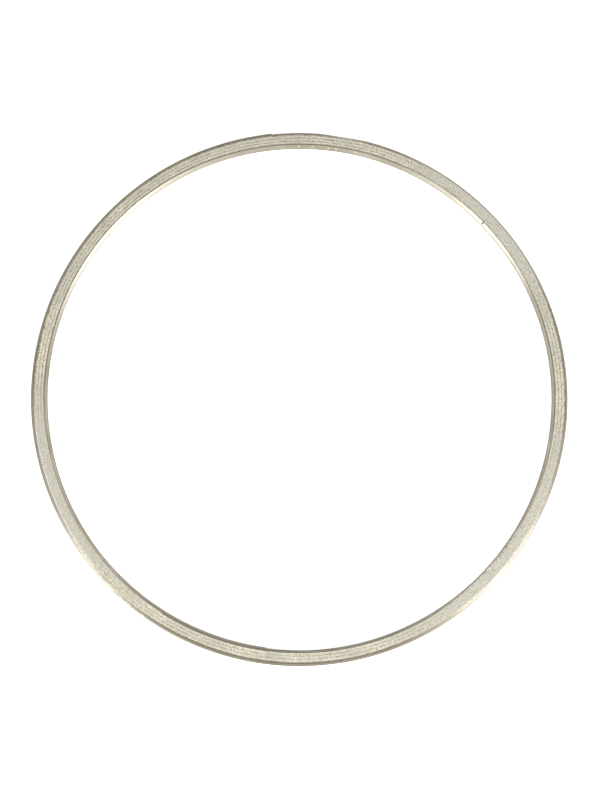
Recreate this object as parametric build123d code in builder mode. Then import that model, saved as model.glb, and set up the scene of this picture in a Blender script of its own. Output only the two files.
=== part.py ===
from build123d import *
import math
import os

# Spiral wound gasket: one V-folded metal strip wound on itself, with one filler strip
# wound between its middle turns. Millimetres, +Z up, origin on the bore axis, in the
# face that the gasket lies on. Angles are in degrees, anticlockwise from +X seen from
# above. Travel is the angle wound so far in one turn, clockwise from the strip's start.

# Metal strip
bore_diameter = 169.0
strip_height = 4.5
strip_thickness = 0.2      # along the radius
fold_depth = 1.1           # how far the fold stands out past the strip's two edges

# Filler strip
filler_thickness = 0.8     # along the radius
filler_proud = 0.1         # how far it stands out of the metal on each face
filler_tip = 0.1           # thickness left at its pressed ends

# Winding, clockwise and outward seen from above
inner_plies = 2            # bare turns before the filler
filler_turns = 3
outer_plies = 3            # bare turns that close the filler in
start_angle = 262.5        # where the strip's inner end lies
end_travel = 166.3         # its outer end, past the last full turn
climb_travel = 18.5        # where the strip begins to climb onto the filler
climb_span = 24.0
contact_gap = 0.01         # between neighbours that touch

# Split across the innermost ply, open at the upper edge
split_travel = 219.5
split_width = 0.3
split_floor = 1.2          # unbroken height below the split

ply_pitch = strip_thickness + contact_gap
climb = filler_thickness + contact_gap
strip_bottom = filler_proud
strip_top = filler_proud + strip_height
fold_level = filler_proud + strip_height / 2
filler_top = filler_proud + strip_height + filler_proud


def outward(travel):
    angle = math.radians(start_angle - travel)
    return Vector(math.cos(angle), math.sin(angle), 0)


# The winding is a chain of arcs that run into each other without a corner. A turn is
# two half turns about centres a little apart, which makes the spiral. Where it climbs
# onto the filler, two more arcs form an S. Neighbouring turns share their centres, so
# the distance between them is even.
half_turn = 180
full_turn = 360
climb_middle = climb_travel + climb_span / 2
climb_end = climb_travel + climb_span
climb_swell = climb / 2 / (1 - math.cos(math.radians(climb_span / 2)))
near_centre = outward(half_turn) * (ply_pitch / 4)
far_centre = outward(0) * (ply_pitch / 4)
rise_centre = near_centre - outward(climb_travel) * climb_swell
settle_centre = near_centre + outward(climb_end) * climb_swell


def turn_arcs(radius, climbs):
    """Arcs of one turn of the strip's inner face: centre, radius, first and last travel."""
    raised = radius
    arcs = [(near_centre, radius, 0, half_turn)]
    if climbs:
        raised = radius + climb
        arcs = [
            (near_centre, radius, 0, climb_travel),
            (rise_centre, radius + climb_swell, climb_travel, climb_middle),
            (settle_centre, raised - climb_swell, climb_middle, climb_end),
            (near_centre, raised, climb_end, half_turn),
        ]
    arcs.append((far_centre, raised + ply_pitch / 2, half_turn, full_turn))
    return arcs


def folded_wall(arc, inner, outer, low, high, mode=Mode.ADD):
    """A V-folded wall along an arc, from inner to outer past the arc's radius."""
    centre, radius, first, last = arc
    levels = [low, high]
    if low < fold_level < high:
        levels = [low, fold_level, high]
    folds = [fold_depth * (1 - abs(level - fold_level) / (strip_height / 2)) for level in levels]
    inner_side = [(radius + inner + fold, level) for fold, level in zip(folds, levels)]
    outer_side = [(radius + outer + fold, level) for fold, level in zip(folds, levels)]
    start = outward(first)
    with BuildSketch(Plane(origin=centre, x_dir=start, z_dir=start.cross(Vector(0, 0, 1)))) as section:
        with BuildLine():
            Polyline(*inner_side, *reversed(outer_side), close=True)
        make_face()
    axis = Axis(centre, (0, 0, -1))
    revolve(section.sketch, axis=axis, revolution_arc=last - first, clean=False, mode=mode)


def clipped(arc, first, last):
    """The stretch of an arc between two travels, or nothing."""
    first = max(arc[2], first)
    last = min(arc[3], last)
    return [(arc[0], arc[1], first, last)] if first < last else []


# Turns of the strip, innermost first
turns = []
radius = bore_diameter / 2 + ply_pitch / 4
for turn in range(inner_plies + filler_turns + outer_plies):
    climbs = inner_plies <= turn < inner_plies + filler_turns
    turns.append(turn_arcs(radius, climbs))
    radius = turns[-1][-1][1] + ply_pitch / 2
first_filled = turns[inner_plies]
first_closing = turns[inner_plies + filler_turns]

# Metal strip
split_half = math.degrees(split_width / bore_diameter)
split_first = split_travel - split_half
split_last = split_travel + split_half
with BuildPart() as metal_strip:
    for arc in turns[0]:
        for piece in clipped(arc, 0, split_first) + clipped(arc, split_last, full_turn):
            folded_wall(piece, 0, strip_thickness, strip_bottom, strip_top)
        for piece in clipped(arc, split_first, split_last):
            folded_wall(piece, 0, strip_thickness, strip_bottom, strip_bottom + split_floor)
    for arcs in turns[1:-1]:
        for arc in arcs:
            folded_wall(arc, 0, strip_thickness, strip_bottom, strip_top)
    for arc in turns[-1]:
        for piece in clipped(arc, 0, end_travel):
            folded_wall(piece, 0, strip_thickness, strip_bottom, strip_top)

# Filler: its ends are pressed thin between the ply that climbs and the one that doesn't
filler_outer = -contact_gap
filler_inner = filler_outer - filler_thickness
tip_travel = math.degrees(math.acos(1 - filler_tip / climb_swell))
start_floor = turns[inner_plies - 1][0]
end_roof = first_closing[0]
pressed_pairs = []
for rising in first_filled[1:3]:
    floor = (start_floor[0], start_floor[1], climb_travel + tip_travel, climb_end)
    pressed_pairs.append((floor, rising))
for rising in turns[inner_plies + filler_turns - 1][1:3]:
    roof = (end_roof[0], end_roof[1], climb_travel, climb_end - tip_travel)
    pressed_pairs.append((rising, roof))

pressed_ends = []
for floor, roof in pressed_pairs:
    with BuildPart() as pressed_end:
        folded_wall(floor, ply_pitch, ply_pitch + 2 * filler_thickness, 0, filler_top)
        folded_wall(roof, 2 * filler_inner, filler_outer, 0, filler_top, mode=Mode.INTERSECT)
    pressed_ends.append(pressed_end.part)

filled_arcs = first_filled[3:]
for arcs in turns[inner_plies + 1:inner_plies + filler_turns]:
    filled_arcs += arcs
filled_arcs += clipped(first_closing[0], 0, climb_travel)
with BuildPart() as filler_strip:
    for arc in filled_arcs:
        folded_wall(arc, filler_inner, filler_outer, 0, filler_top)
    for pressed_end in pressed_ends:
        add(pressed_end, clean=False)

os.makedirs("parts", exist_ok=True)
metal_strip.part.label = "metal_strip"
export_step(metal_strip.part, "parts/metal_strip.step")
filler_strip.part.label = "filler_strip"
export_step(filler_strip.part, "parts/filler_strip.step")
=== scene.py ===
import math
import bmesh
import bpy
from mathutils import Matrix, Vector, noise


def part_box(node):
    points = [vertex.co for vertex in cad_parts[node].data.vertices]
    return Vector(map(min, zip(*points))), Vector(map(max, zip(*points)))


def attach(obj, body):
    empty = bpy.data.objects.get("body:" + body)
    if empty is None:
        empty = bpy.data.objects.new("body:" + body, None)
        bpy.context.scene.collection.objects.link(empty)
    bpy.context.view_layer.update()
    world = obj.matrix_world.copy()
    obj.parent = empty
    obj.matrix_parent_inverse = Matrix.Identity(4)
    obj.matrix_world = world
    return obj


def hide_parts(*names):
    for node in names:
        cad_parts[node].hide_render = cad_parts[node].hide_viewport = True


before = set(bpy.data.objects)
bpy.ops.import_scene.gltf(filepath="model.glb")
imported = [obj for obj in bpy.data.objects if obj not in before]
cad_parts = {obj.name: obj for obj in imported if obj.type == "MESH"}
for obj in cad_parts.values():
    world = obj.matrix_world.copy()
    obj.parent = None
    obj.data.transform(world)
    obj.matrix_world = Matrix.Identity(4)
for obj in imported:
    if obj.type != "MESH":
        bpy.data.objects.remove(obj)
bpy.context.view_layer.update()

mm = 0.001
stripLow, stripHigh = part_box("metal_strip")
fillerLow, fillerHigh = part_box("filler_strip")
print("frame loaded")


def hexColour(code):
    # sRGB hex to linear
    channels = [int(code[i:i + 2], 16) / 255 for i in (1, 3, 5)]
    return [c / 12.92 if c <= 0.04045 else ((c + 0.055) / 1.055) ** 2.4 for c in channels] + [1]


def addNode(tree, kind, settings=(), links=()):
    # one node with its settings and the sockets that feed it
    node = tree.nodes.new(kind)
    for name, value in dict(settings).items():
        if isinstance(name, int) or name in node.inputs:
            node.inputs[name].default_value = value
        else:
            setattr(node, name, value)
    for name, source in dict(links).items():
        tree.links.new(source, node.inputs[name])
    return node


def newMaterial(name):
    material = bpy.data.materials.new(name)
    material.use_nodes = True
    material.node_tree.nodes.clear()
    return material, material.node_tree


def newPiece(name, bm, material):
    mesh = bpy.data.meshes.new(name)
    bm.to_mesh(mesh)
    bm.free()
    mesh.materials.append(material)
    mesh.shade_smooth()
    mesh.set_sharp_from_angle(angle=math.radians(50))
    piece = bpy.data.objects.new(name, mesh)
    bpy.context.collection.objects.link(piece)
    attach(piece, "root")
    print(name, len(mesh.polygons), "faces")
    return piece


# The winding is a chain of arcs, clockwise and outward from the strip's inner end. Sizes in mm,
# angles in degrees; travel is the angle wound past the strip's start in the present turn.
winding = {
    "boreRadius": 84.5, "thickness": 0.2, "foldDepth": 1.1, "filler": 0.8, "gap": 0.01,
    "barePlies": 2, "filledTurns": 3, "closingPlies": 3,
    "startAngle": 262.5, "endTravel": 166.3,
    "climbTravel": 18.5, "climbSpan": 24.0,
    "patternRadius": 87.0,     # where lengths along the strip are true in its patterns
}
sameLevel = 1e-6               # metres; heights closer than this are the same
pitch = winding["thickness"] + winding["gap"]
climb = winding["filler"] + winding["gap"]
climbStart = winding["climbTravel"]
climbEnd = climbStart + winding["climbSpan"]
climbMiddle = (climbStart + climbEnd) / 2
swell = climb / 2 / (1 - math.cos(math.radians(winding["climbSpan"] / 2)))
firstClimb = winding["barePlies"]
lastClimb = firstClimb + winding["filledTurns"] - 1
lastTurn = lastClimb + winding["closingPlies"]
foldLevel = (stripLow.z + stripHigh.z) / 2
halfHeight = (stripHigh.z - stripLow.z) / 2


def outward(travel):
    angle = math.radians(winding["startAngle"] - travel)
    return Vector((math.cos(angle), math.sin(angle), 0))


nearCentre = outward(180) * (pitch / 4 * mm)
farCentre = outward(0) * (pitch / 4 * mm)
riseCentre = nearCentre - outward(climbStart) * (swell * mm)
settleCentre = nearCentre + outward(climbEnd) * (swell * mm)


def turnArcs(turn, stepsPerDegree, first=0, last=360):
    # (centre, from, to, steps) of each arc of that turn between two travels
    arcs = [(nearCentre, 0, 180), (farCentre, 180, 360)]
    if firstClimb <= turn <= lastClimb:
        arcs = [(nearCentre, 0, climbStart), (riseCentre, climbStart, climbMiddle),
                (settleCentre, climbMiddle, climbEnd), (nearCentre, climbEnd, 180),
                (farCentre, 180, 360)]
    arcs = [(c, max(a, first), min(b, last)) for c, a, b in arcs if max(a, first) < min(b, last)]
    return [(c, a, b, max(1, round((b - a) * stepsPerDegree))) for c, a, b in arcs]


def foldOut(z):
    # how far the fold carries the wall outward at height z
    return winding["foldDepth"] * mm * (1 - abs(z - foldLevel) / halfHeight)


def sectionLoop(radius, travel, thickness, levels, foldRounding, cornerRounding):
    # the V section across the strip, as one closed loop of edges
    bm = bmesh.new()
    direction = outward(travel)
    inner = [bm.verts.new(direction * (radius + foldOut(z)) + Vector((0, 0, z))) for z in levels]
    outer = [bm.verts.new(v.co + direction * thickness) for v in reversed(inner)]
    bm.faces.new(inner + outer)
    folds = [vert for vert in inner + outer if abs(vert.co.z - foldLevel) < sameLevel]
    corners = [inner[0], inner[-1], outer[0], outer[-1]]
    for verts, size, segments in ((folds, foldRounding, 4), (corners, cornerRounding, 2)):
        if size:
            bmesh.ops.bevel(bm, geom=verts, offset=size, offset_type="OFFSET", segments=segments,
                            profile=0.5, affect="VERTICES", material=-1)
    bmesh.ops.delete(bm, geom=bm.faces[:], context="FACES_ONLY")
    return bm


def openSlot(part, lastRing, foot):
    # opens one step of the strip down to the foot, and closes the cut faces
    above = [face for face in part.faces if face.calc_center_median().z > foot]
    bmesh.ops.delete(part, geom=above, context="FACES_ONLY")
    rails = [edge for edge in part.edges if (edge.verts[0] in lastRing) != (edge.verts[1] in lastRing)]
    foots = [edge for edge in rails if edge.link_faces and edge.is_boundary
             and abs(edge.verts[0].co.z - foot) < sameLevel]
    bmesh.ops.delete(part, geom=[edge for edge in rails if not edge.link_faces], context="EDGES")
    bars = []
    for late in (False, True):
        pair = [vert for edge in foots for vert in edge.verts if (vert in lastRing) == late]
        bars.append(part.edges.new(pair))
    loose = [edge for edge in part.edges if not edge.link_faces]
    bmesh.ops.edgeloop_fill(part, edges=loose)
    bmesh.ops.edgeloop_fill(part, edges=foots + bars)


def spinAlong(section, arcs, slotStart=None, foot=None):
    # spins the section round each arc in turn; the last ring of one arc starts the next, and the
    # two ends are closed
    whole = bmesh.new()
    for centre, first, last, steps in arcs:
        spun = bmesh.ops.spin(section, geom=section.verts[:] + section.edges[:], cent=centre,
                              axis=(0, 0, 1), dvec=(0, 0, 0), angle=-math.radians(last - first),
                              steps=steps, use_merge=False, use_duplicate=False)
        section.verts.index_update()
        lastRing = {part for part in spun["geom_last"] if isinstance(part, bmesh.types.BMVert)}
        kept = {vert.index for vert in lastRing}
        following = section.copy()
        following.verts.index_update()
        spare = [vert for vert in following.verts if vert.index not in kept]
        bmesh.ops.delete(following, geom=spare, context="VERTS")
        if first == slotStart:
            openSlot(section, lastRing, foot)
        arcMesh = bpy.data.meshes.new("arc")
        section.to_mesh(arcMesh)
        section.free()
        whole.from_mesh(arcMesh)
        bpy.data.meshes.remove(arcMesh)
        section = following
    section.free()
    rims = [vert for vert in whole.verts if vert.is_boundary]
    bmesh.ops.remove_doubles(whole, verts=rims, dist=0.001 * mm)
    rims = [edge for edge in whole.edges if edge.is_boundary]
    bmesh.ops.holes_fill(whole, edges=rims, sides=0)
    bmesh.ops.recalc_face_normals(whole, faces=whole.faces[:])
    print("swept", len(arcs), "arcs,", len(rims), "rim edges closed,",
          len([edge for edge in whole.edges if edge.is_boundary]), "left")
    return whole


# The metal strip's own features
strip = {
    "foldRounding": 0.45, "cornerRounding": 0.05, "stepsPerDegree": 1.0,
    "splitTravel": 219.5, "splitWidth": 0.3, "splitFloor": 1.2,
    "innerWelds": (172.4, 175.5, 179.2, 181.0, 185.5),     # travel of each weld on the bore wall
    "outerWelds": (27.5, 31.2, 32.0, 33.4, 37.8),          # and on the outside wall
    "weldLevel": 1.15, "weldSize": 0.4, "weldDepth": 0.07,
    "weldPatch": 1.0, "tallEdge": 0.7, "weldCuts": 7,      # the wall is cut finer round a weld
    "endLift": 0.1, "endLength": 6.0, "endRadius": 88.3,   # the outer end is lifted a little
}


splitFoot = stripLow.z + strip["splitFloor"] * mm


def wallPlace(turn, travel, z, side):
    # a point on the inner (side 0) or outer (side 1) wall of that turn
    centre = [c for c, first, last, steps in turnArcs(turn, 1) if first <= travel <= last][0]
    radius = winding["boreRadius"] + pitch / 4 + turn * pitch + (pitch / 2 if travel > 180 else 0)
    radius += winding["filledTurns"] * climb if turn > lastClimb else 0
    radius += side * winding["thickness"]
    return centre + outward(travel) * (radius * mm + foldOut(z)) + Vector((0, 0, z))


# each weld as its place and its side
innerLevel = stripLow.z + strip["weldLevel"] * mm
outerLevel = stripHigh.z - strip["weldLevel"] * mm
welds = [(wallPlace(0, travel, innerLevel, 0), 0) for travel in strip["innerWelds"]]
welds += [(wallPlace(lastTurn, travel, outerLevel, 1), 1) for travel in strip["outerWelds"]]

# the outer plies are pressed in a little just past the strip's end
dent = {"azimuth": 80.5, "halfLength": 6.0, "depth": 0.28, "from": 86.2, "to": 88.2}


def settle(bm):
    # presses the outer plies in at the dent, most in its middle
    middle = math.radians(dent["azimuth"])
    for vert in bm.verts:
        radius = vert.co.xy.length
        offset = math.degrees(math.atan2(vert.co.y, vert.co.x) - middle)
        if abs(offset) < dent["halfLength"]:
            share = ((radius - foldOut(vert.co.z)) / mm - dent["from"]) / (dent["to"] - dent["from"])
            share = min(1, max(0, share)) * (1 - (offset / dent["halfLength"]) ** 2) ** 2
            vert.co.xy *= 1 - dent["depth"] * mm * share / radius


# Rolled stainless strip, slit and folded: a warm grey metal with fine rolling lines along its
# length, satin on the walls, its slit edges smeared with filler where the face was pressed
steel = {
    "bright": "#d6d1c3", "dull": "#bfb8a5", "roughness": 0.42, "roughSpread": 0.07, "anisotropy": 0.75,
    "lineHeight": 0.16,      # mm between rolling lines up the wall
    "lineLength": 11.0,      # mm, how long one line runs
    "patch": 14.0,           # mm across a duller patch
    # painted shade: the wall is darker towards both slit edges
    "edgeShade": "#857c66", "edgeShadeAmount": 0.62,
    "edgeShadeDepth": 0.5,        # mm from a slit edge that the wall is darker
    "outside": "#8d8169", "outsideShadeAmount": 0.7,    # painted shade: the outside wall is darker and browner
    "outsideShadeFrom": (88.55, 88.9),                  # and from this radius to this one
    "smear": "#dcd6c2", "smearGrain": 0.5, "smearDepth": 0.16,
    "smearInner": (84.85, 85.3),     # filler lies over the edges between these two radii
    "smearOuter": (88.35, 87.95),
    # painted highlight: the strip edges near white where they face the lamps
    "edgeHighlight": "#fffef8",
    # azimuth, half width and strength of each painted highlight on the strip edges
    "highlightSectors": ((322, 34, 0.9), (201, 24, 0.9), (42, 27, 0.8)),
    # painted highlight: the welds are coloured lighter than the strip
    "weld": "#ece8da",
    "splitShade": "#3b372c",         # painted shade in the split
    "splitBelow": 0.4,               # mm that it runs below the split's foot
}
# Mineral fibre tape, calendered and pressed on edge: chalky cream with darker fibre and pores,
# drawn out across the strip
fibre = {
    "pale": "#f3edda", "mid": "#cfc8b3", "dark": "#9c947e",
    "across": 1.6, "along": 0.42,    # mm, the streaks the fibres make on the face
    "pore": 0.3,                     # mm across a pore
    "patch": 9.0,                    # mm across a greyer patch
    "grey": "#bab7aa", "greying": 0.5,
    "roughness": 0.88,
}


def flatPart(tree, place):
    return addNode(tree, "ShaderNodeVectorMath", {"operation": "MULTIPLY", 1: (1, 1, 0)},
                   {0: place}).outputs[0]


def radiusOf(tree, place):
    # distance from the bore axis
    return addNode(tree, "ShaderNodeVectorMath", {"operation": "LENGTH"},
                   {0: flatPart(tree, place)}).outputs["Value"]


def ramp(tree, value, start, end, top=1.0):
    # runs from 0 at start to top at end, and is held beyond them
    return addNode(tree, "ShaderNodeMapRange", {"From Min": start, "From Max": end, "To Max": top},
                   {"Value": value}).outputs[0]


def windingPlace(tree, alongSize, acrossSize, upSize):
    # coordinates that follow the strip: along it, across it and up it, each over a size in mm
    place = addNode(tree, "ShaderNodeTexCoord").outputs["Object"]
    parts = addNode(tree, "ShaderNodeSeparateXYZ", links={0: place})
    angle = addNode(tree, "ShaderNodeMath", {"operation": "ARCTAN2"},
                    {0: parts.outputs[1], 1: parts.outputs[0]})
    radius = radiusOf(tree, place)
    along = addNode(tree, "ShaderNodeMath",
                    {"operation": "MULTIPLY", 1: winding["patternRadius"] / alongSize},
                    {0: angle.outputs[0]})
    across = addNode(tree, "ShaderNodeMath", {"operation": "MULTIPLY", 1: 1 / (acrossSize * mm)},
                     {0: radius})
    up = addNode(tree, "ShaderNodeMath", {"operation": "MULTIPLY", 1: 1 / (upSize * mm)},
                 {0: parts.outputs[2]})
    return addNode(tree, "ShaderNodeCombineXYZ",
                   links={0: along.outputs[0], 1: across.outputs[0], 2: up.outputs[0]}).outputs[0]


def noiseField(tree, place, scale, detail, low, high):
    # noise stretched to run from 0 at low to 1 at high
    field = addNode(tree, "ShaderNodeTexNoise", {"Scale": scale, "Detail": detail}, {"Vector": place})
    return ramp(tree, field.outputs["Fac"], low, high)


def blendColour(tree, amount, first, second):
    # first and second are a hex colour or a socket
    mix = addNode(tree, "ShaderNodeMix", {"data_type": "RGBA"})
    tree.links.new(amount, mix.inputs[0])
    for socket, colour in ((6, first), (7, second)):
        if isinstance(colour, str):
            mix.inputs[socket].default_value = hexColour(colour)
        else:
            tree.links.new(colour, mix.inputs[socket])
    return mix.outputs[2]


def calculate(tree, operation, first, second):
    # one sum on sockets or numbers, held between 0 and 1
    node = addNode(tree, "ShaderNodeMath", {"operation": operation, "use_clamp": True})
    for index, value in enumerate((first, second)):
        if isinstance(value, (int, float)):
            node.inputs[index].default_value = value
        else:
            tree.links.new(value, node.inputs[index])
    return node.outputs[0]


def edgeReach(tree, place):
    # height above or below the fold
    height = addNode(tree, "ShaderNodeSeparateXYZ", links={0: place}).outputs[2]
    middle = addNode(tree, "ShaderNodeMath", {"operation": "SUBTRACT", 1: foldLevel}, {0: height})
    return addNode(tree, "ShaderNodeMath", {"operation": "ABSOLUTE"}, {0: middle.outputs[0]}).outputs[0]


def highlightSectorMask(tree, place):
    # the sectors facing the lamps, where the strip edges get a painted highlight
    unit = addNode(tree, "ShaderNodeVectorMath", {"operation": "NORMALIZE"}, {0: flatPart(tree, place)})
    highlightSectors = 0.0
    for azimuth, width, amount in steel["highlightSectors"]:
        toward = (math.cos(math.radians(azimuth)), math.sin(math.radians(azimuth)), 0)
        near = addNode(tree, "ShaderNodeVectorMath", {"operation": "DOT_PRODUCT", 1: toward},
                       {0: unit.outputs[0]}).outputs["Value"]
        spot = ramp(tree, near, math.cos(math.radians(width)), math.cos(math.radians(width / 2)), amount)
        highlightSectors = calculate(tree, "ADD", spot, highlightSectors)
    return highlightSectors


def smearMask(tree, place, highlightSectors):
    # where filler and the painted highlight lie over the strip edges: 1 covered, 0 bare
    depth = steel["smearDepth"] * mm
    edge = ramp(tree, edgeReach(tree, place), halfHeight - depth, halfHeight - depth / 2)
    radius = radiusOf(tree, place)
    inside = ramp(tree, radius, *(limit * mm for limit in steel["smearInner"]))
    outside = ramp(tree, radius, *(limit * mm for limit in steel["smearOuter"]))
    streaks = noiseField(tree, windingPlace(tree, steel["smearGrain"], 1.2, 1.2), 1.0, 2.0, 0.34, 0.56)
    cover = calculate(tree, "MULTIPLY", calculate(tree, "MAXIMUM", streaks, highlightSectors), edge)
    cover = calculate(tree, "MULTIPLY", cover, inside)
    return calculate(tree, "MULTIPLY", cover, outside)


def splitMask(tree, place):
    # where the split's painted shade goes: 1 inside the split and on the ply behind it
    direction = outward(strip["splitTravel"])
    along = (direction.y, -direction.x, 0)
    aside = addNode(tree, "ShaderNodeVectorMath", {"operation": "DOT_PRODUCT", 1: along},
                    {0: place}).outputs["Value"]
    offset = addNode(tree, "ShaderNodeMath", {"operation": "ABSOLUTE"}, {0: aside}).outputs[0]
    narrow = ramp(tree, offset, strip["splitWidth"] * mm, strip["splitWidth"] / 2 * mm)
    reached = addNode(tree, "ShaderNodeVectorMath", {"operation": "DOT_PRODUCT", 1: direction},
                      {0: place}).outputs["Value"]
    furthest = (winding["boreRadius"] + winding["foldDepth"] + 2 * pitch) * mm
    near = calculate(tree, "MULTIPLY", calculate(tree, "GREATER_THAN", reached, 0.0),
                     calculate(tree, "LESS_THAN", reached, furthest))
    height = addNode(tree, "ShaderNodeSeparateXYZ", links={0: place}).outputs[2]
    above = calculate(tree, "GREATER_THAN", height, splitFoot - steel["splitBelow"] * mm)
    return calculate(tree, "MULTIPLY", calculate(tree, "MULTIPLY", narrow, near), above)


def weldHighlightMask(tree, place):
    # 1 on each spot weld
    nearest = 1.0
    for centre, side in welds:
        apart = addNode(tree, "ShaderNodeVectorMath", {"operation": "DISTANCE", 1: centre}, {0: place})
        share = calculate(tree, "MULTIPLY", apart.outputs["Value"], 1 / (strip["weldSize"] * 2 * mm))
        nearest = calculate(tree, "MINIMUM", share, nearest)
    return ramp(tree, nearest, 0.62, 0.4)


def rolledSteel():
    material, tree = newMaterial("rolled stainless strip")
    place = addNode(tree, "ShaderNodeTexCoord").outputs["Object"]
    highlightSectors = highlightSectorMask(tree, place)
    lined = windingPlace(tree, steel["lineLength"], 0.5, steel["lineHeight"])
    lines = noiseField(tree, lined, 1.0, 3.0, 0.3, 0.7)
    patches = noiseField(tree, place, 1 / (steel["patch"] * mm), 3.0, 0.35, 0.65)
    metal = blendColour(tree, patches, steel["bright"], steel["dull"])
    # painted shade along the slit edges, but not on the upper edges in the sectors of the painted
    # highlight
    edgeShadeShare = addNode(tree, "ShaderNodeMapRange", {"From Min": halfHeight - steel["edgeShadeDepth"] * mm,
                                                "From Max": halfHeight, "To Max": steel["edgeShadeAmount"],
                                                "interpolation_type": "SMOOTHSTEP"},
                   {"Value": edgeReach(tree, place)}).outputs[0]
    height = addNode(tree, "ShaderNodeSeparateXYZ", links={0: place}).outputs[2]
    upper = calculate(tree, "GREATER_THAN", height, foldLevel)
    shadeAllowed = calculate(tree, "SUBTRACT", 1.0, calculate(tree, "MULTIPLY", upper, highlightSectors))
    metal = blendColour(tree, calculate(tree, "MULTIPLY", edgeShadeShare, shadeAllowed), metal, steel["edgeShade"])
    # painted shade on the outside wall
    start, end = steel["outsideShadeFrom"]
    outside = ramp(tree, radiusOf(tree, place), start * mm, end * mm, steel["outsideShadeAmount"])
    metal = blendColour(tree, outside, metal, steel["outside"])
    # painted highlight on the welds
    metal = blendColour(tree, weldHighlightMask(tree, place), metal, steel["weld"])
    # painted shade in the split and on the ply behind it
    metal = blendColour(tree, splitMask(tree, place), metal, steel["splitShade"])
    smear = smearMask(tree, place, highlightSectors)
    # painted highlight: near white over the edges in those sectors
    covering = blendColour(tree, highlightSectors, steel["smear"], steel["edgeHighlight"])
    colour = blendColour(tree, smear, metal, covering)
    metallic = calculate(tree, "SUBTRACT", 1.0, smear)
    rough = addNode(tree, "ShaderNodeMapRange", {"To Min": steel["roughness"] - steel["roughSpread"],
                                                 "To Max": steel["roughness"] + steel["roughSpread"]},
                    {"Value": lines}).outputs[0]
    rough = calculate(tree, "MAXIMUM", rough, calculate(tree, "MULTIPLY", smear, fibre["roughness"]))
    bump = addNode(tree, "ShaderNodeBump", {"Strength": 0.2, "Distance": 0.02 * mm}, {"Height": lines})
    # rolling lines run round the ring, so gloss spreads up and down the wall
    tangent = addNode(tree, "ShaderNodeTangent", {"direction_type": "RADIAL", "axis": "Z"})
    shader = addNode(tree, "ShaderNodeBsdfPrincipled",
                     {"Anisotropic": steel["anisotropy"], "Anisotropic Rotation": 0.25},
                     {"Base Color": colour, "Metallic": metallic, "Roughness": rough,
                      "Normal": bump.outputs[0], "Tangent": tangent.outputs[0]})
    addNode(tree, "ShaderNodeOutputMaterial", links={"Surface": shader.outputs[0]})
    return material


def mineralFibre():
    material, tree = newMaterial("mineral fibre tape")
    place = addNode(tree, "ShaderNodeTexCoord").outputs["Object"]
    drawn = windingPlace(tree, fibre["along"], fibre["across"], 1.5)
    streaks = noiseField(tree, drawn, 1.0, 3.0, 0.33, 0.67)
    pores = noiseField(tree, place, 1 / (fibre["pore"] * mm), 2.0, 0.3, 0.5)
    patches = noiseField(tree, place, 1 / (fibre["patch"] * mm), 2.0, 0.35, 0.65)
    body = blendColour(tree, streaks, fibre["mid"], fibre["pale"])
    body = blendColour(tree, pores, fibre["dark"], body)
    # the fibre greys in random patches and in the sectors of the painted edge highlight
    patchesAndHighlightSectors = calculate(tree, "ADD", patches, highlightSectorMask(tree, place))
    greyer = calculate(tree, "MULTIPLY", patchesAndHighlightSectors, fibre["greying"])
    body = blendColour(tree, greyer, body, fibre["grey"])
    height = addNode(tree, "ShaderNodeMath", {"operation": "ADD"}, {0: streaks, 1: pores})
    bump = addNode(tree, "ShaderNodeBump", {"Strength": 0.5, "Distance": 0.06 * mm},
                   {"Height": height.outputs[0]})
    shader = addNode(tree, "ShaderNodeBsdfPrincipled", {"Roughness": fibre["roughness"]},
                     {"Base Color": body, "Normal": bump.outputs[0]})
    addNode(tree, "ShaderNodeOutputMaterial", links={"Surface": shader.outputs[0]})
    return material


steelMaterial = rolledSteel()
fibreMaterial = mineralFibre()
print("materials made")

# Metal strip
def denseArcs(turn, spans):
    # the arcs of one turn, with its own step density in each span of travel
    return [arc for first, last, density in spans for arc in turnArcs(turn, density, first, last)]


halfSplit = math.degrees(strip["splitWidth"] / 2 / winding["boreRadius"])
splitStart, splitEnd = strip["splitTravel"] - halfSplit, strip["splitTravel"] + halfSplit
section = sectionLoop(winding["boreRadius"] * mm, 0, winding["thickness"] * mm,
                      [stripLow.z, splitFoot, foldLevel, stripHigh.z],
                      strip["foldRounding"] * mm, strip["cornerRounding"] * mm)
density = strip["stepsPerDegree"]
arcs = denseArcs(0, ((0, 171, density), (171, 187, 5), (187, splitStart, density),
                     (splitStart, splitEnd, 1), (splitEnd, 360, density)))
arcs += [arc for turn in range(1, lastTurn) for arc in turnArcs(turn, density)]
arcs += denseArcs(lastTurn, ((0, 26, density), (26, 39, 5), (39, winding["endTravel"], density)))
bm = spinAlong(section, arcs, splitStart, splitFoot)

# spot welds: small round dents in the wall
for place, side in welds:
    tall = [edge for edge in bm.edges
            if abs(edge.verts[0].co.z - edge.verts[1].co.z) > strip["tallEdge"] * mm
            and ((edge.verts[0].co + edge.verts[1].co) / 2 - place).length < strip["weldPatch"] * mm
            and all((vert.co.z - foldLevel) * (place.z - foldLevel) > 0 for vert in edge.verts)]
    bmesh.ops.subdivide_edges(bm, edges=tall, cuts=strip["weldCuts"], use_grid_fill=True)
    inward = -place.xy.normalized() if side else place.xy.normalized()
    for vert in bm.verts:
        reach = (vert.co - place).length / (strip["weldSize"] * mm)
        if reach < 1:
            push = (1 + math.cos(math.pi * reach)) / 2 * strip["weldDepth"] * mm
            vert.co += Vector((inward.x, inward.y, 0)) * push
settle(bm)

# the strip's outer end is lifted a little, and with it the outer wall of the ply below
endPlace = outward(winding["endTravel"])
liftLength = strip["endLength"] * mm
for vert in bm.verts:
    depth = vert.co.dot(endPlace) - foldOut(vert.co.z)
    back = vert.co.cross(endPlace).z
    if depth > strip["endRadius"] * mm and -liftLength < back < 0.1 * mm:
        vert.co += endPlace * (strip["endLift"] * mm * (1 + back / liftLength) ** 2)
bmesh.ops.recalc_face_normals(bm, faces=bm.faces[:])
metalStrip = newPiece("metalStrip", bm, steelMaterial)
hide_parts("metal_strip")

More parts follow.
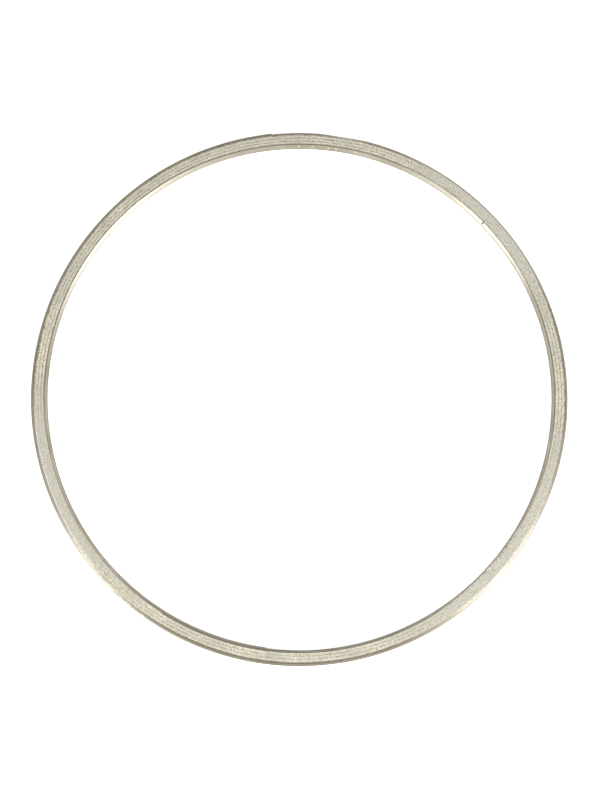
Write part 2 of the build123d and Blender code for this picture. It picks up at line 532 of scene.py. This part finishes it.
# Filler strip: it lies on the ply below it all the way, and its ends are pressed under the ply above
filler = {
    "tip": 0.1, "cornerRounding": 0.12, "stepsPerDegree": 3.2,
    "flatWidth": 0.4,      # an edge longer than this, lying level, is a pressed face
    "grain": 0.45, "across": 1.3, "relief": 0.1, "reliefBand": 0.02,
}
tipTravel = math.degrees(math.acos(1 - filler["tip"] / swell))
fillerStart = climbStart + tipTravel
fillerRadius = winding["boreRadius"] + pitch / 4 + firstClimb * pitch
section = sectionLoop(0, fillerStart, winding["filler"] * mm, [fillerLow.z, foldLevel, fillerHigh.z],
                      0, filler["cornerRounding"] * mm)
bmesh.ops.translate(section, verts=section.verts[:],
                    vec=nearCentre + outward(fillerStart) * (fillerRadius * mm))
flats = [edge for edge in section.edges if edge.calc_length() > filler["flatWidth"] * mm
         and abs(edge.verts[0].co.z - edge.verts[1].co.z) < sameLevel]
bmesh.ops.subdivide_edges(section, edges=flats, cuts=3)
density = filler["stepsPerDegree"]
arcs = turnArcs(firstClimb - 1, density, first=fillerStart)
arcs += [arc for turn in range(firstClimb, lastClimb) for arc in turnArcs(turn, density)]
arcs += turnArcs(lastClimb, density, last=climbEnd - tipTravel)
bm = spinAlong(section, arcs)
settle(bm)
fillerMiddle = (fillerLow.z + fillerHigh.z) / 2
for vert in bm.verts:
    # torn fibres leave the pressed faces uneven
    above = vert.co.z - fillerMiddle
    if abs(above) > (fillerHigh.z - fillerLow.z) / 2 - filler["reliefBand"] * mm:
        turned = math.atan2(vert.co.y, vert.co.x) * winding["patternRadius"] / filler["grain"]
        rise = noise.noise(Vector((turned, vert.co.xy.length / (filler["across"] * mm), 0)))
        sunk = 0.5 + 0.5 * max(-1, min(1, rise * 1.6))
        vert.co.z -= math.copysign(filler["relief"] * mm * sunk, above)
fillerStrip = newPiece("fillerStrip", bm, fibreMaterial)
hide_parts("filler_strip")

# Floor: plain white paper. The camera sees it washed out to white, and a faint contact shadow
floorSettings = {"size": 3.0, "colour": "#f2f2f0", "glow": 0.72}
bm = bmesh.new()
bmesh.ops.create_grid(bm, x_segments=1, y_segments=1, size=floorSettings["size"] / 2)
mesh = bpy.data.meshes.new("floor")
bm.to_mesh(mesh)
bm.free()
floor = bpy.data.objects.new("floor", mesh)
bpy.context.collection.objects.link(floor)


def whitePaper():
    material, tree = newMaterial("white paper floor")
    path = addNode(tree, "ShaderNodeLightPath")
    lit = addNode(tree, "ShaderNodeBsdfDiffuse", {"Color": hexColour(floorSettings["colour"])})
    seen = calculate(tree, "MULTIPLY", path.outputs["Is Camera Ray"], floorSettings["glow"])
    glow = addNode(tree, "ShaderNodeEmission", {"Color": (1, 1, 1, 1)}, {"Strength": seen})
    both = addNode(tree, "ShaderNodeAddShader", links={0: lit.outputs[0], 1: glow.outputs[0]})
    addNode(tree, "ShaderNodeOutputMaterial", links={"Surface": both.outputs[0]})
    return material


mesh.materials.append(whitePaper())

# World: a white surround under a dimmer ceiling
surround = {"light": 0.54, "horizon": 1.0, "ceiling": 0.6, "from": 0.15, "to": 0.75}
world = bpy.data.worlds.new("studio")
bpy.context.scene.world = world
world.use_nodes = True
tree = world.node_tree
tree.nodes.clear()
path = addNode(tree, "ShaderNodeLightPath")
seen = calculate(tree, "MAXIMUM", path.outputs["Is Camera Ray"], path.outputs["Is Glossy Ray"])
seen = calculate(tree, "MAXIMUM", seen, path.outputs["Is Transmission Ray"])
direction = addNode(tree, "ShaderNodeTexCoord").outputs["Generated"]
height = addNode(tree, "ShaderNodeSeparateXYZ", links={0: direction}).outputs[2]
shade = addNode(tree, "ShaderNodeMapRange", {"From Min": surround["from"], "From Max": surround["to"],
                                             "To Min": surround["horizon"], "To Max": surround["ceiling"]},
                {"Value": height}).outputs[0]
level = addNode(tree, "ShaderNodeMix", {"data_type": "FLOAT", 2: surround["light"]}, {0: seen, 3: shade})
sky = addNode(tree, "ShaderNodeBackground", {"Color": (1, 1, 1, 1)}, {"Strength": level.outputs[0]})
addNode(tree, "ShaderNodeOutputWorld", links={"Surface": sky.outputs[0]})

# Lamps: two low soft boxes in front, to the right and to the left
lamps = {
    "rightBox": {"azimuth": 323, "elevation": 17, "distance": 0.9, "size": 0.4, "power": 9.0},
    "leftBox": {"azimuth": 217, "elevation": 17, "distance": 0.9, "size": 0.25, "power": 5.8},
}
for name, lamp in lamps.items():
    data = bpy.data.lights.new(name, "AREA")
    data.size = lamp["size"]
    data.energy = lamp["power"]
    light = bpy.data.objects.new(name, data)
    bpy.context.collection.objects.link(light)
    a, e = math.radians(lamp["azimuth"]), math.radians(lamp["elevation"])
    away = Vector((math.cos(a) * math.cos(e), math.sin(a) * math.cos(e), math.sin(e)))
    light.location = away * lamp["distance"]
    light.rotation_euler = away.to_track_quat("Z", "Y").to_euler()

# Camera: nearly straight above, leaning a little toward the front
cameraView = {"lens": 50.0, "lean": 6.0, "side": 0.0, "distance": 0.3685, "aimX": 0.2, "aimY": -2.65}
data = bpy.data.cameras.new("camera")
data.lens = cameraView["lens"]
data.sensor_width = 36
data.clip_start = 0.01
camera = bpy.data.objects.new("camera", data)
bpy.context.collection.objects.link(camera)
lean, side = math.radians(cameraView["lean"]), math.radians(cameraView["side"])
away = Vector((math.sin(side), -math.sin(lean), 0))
away.z = math.sqrt(1 - away.length_squared)
camera.location = Vector((cameraView["aimX"] * mm, cameraView["aimY"] * mm, fillerHigh.z))
camera.location += away * cameraView["distance"]
right = Vector((0, 1, 0)).cross(away).normalized()
camera.rotation_euler = Matrix((right, away.cross(right), away)).transposed().to_euler()
bpy.context.scene.camera = camera
bpy.context.scene.view_settings.view_transform = "Standard"
print("stage, lamps and camera set")
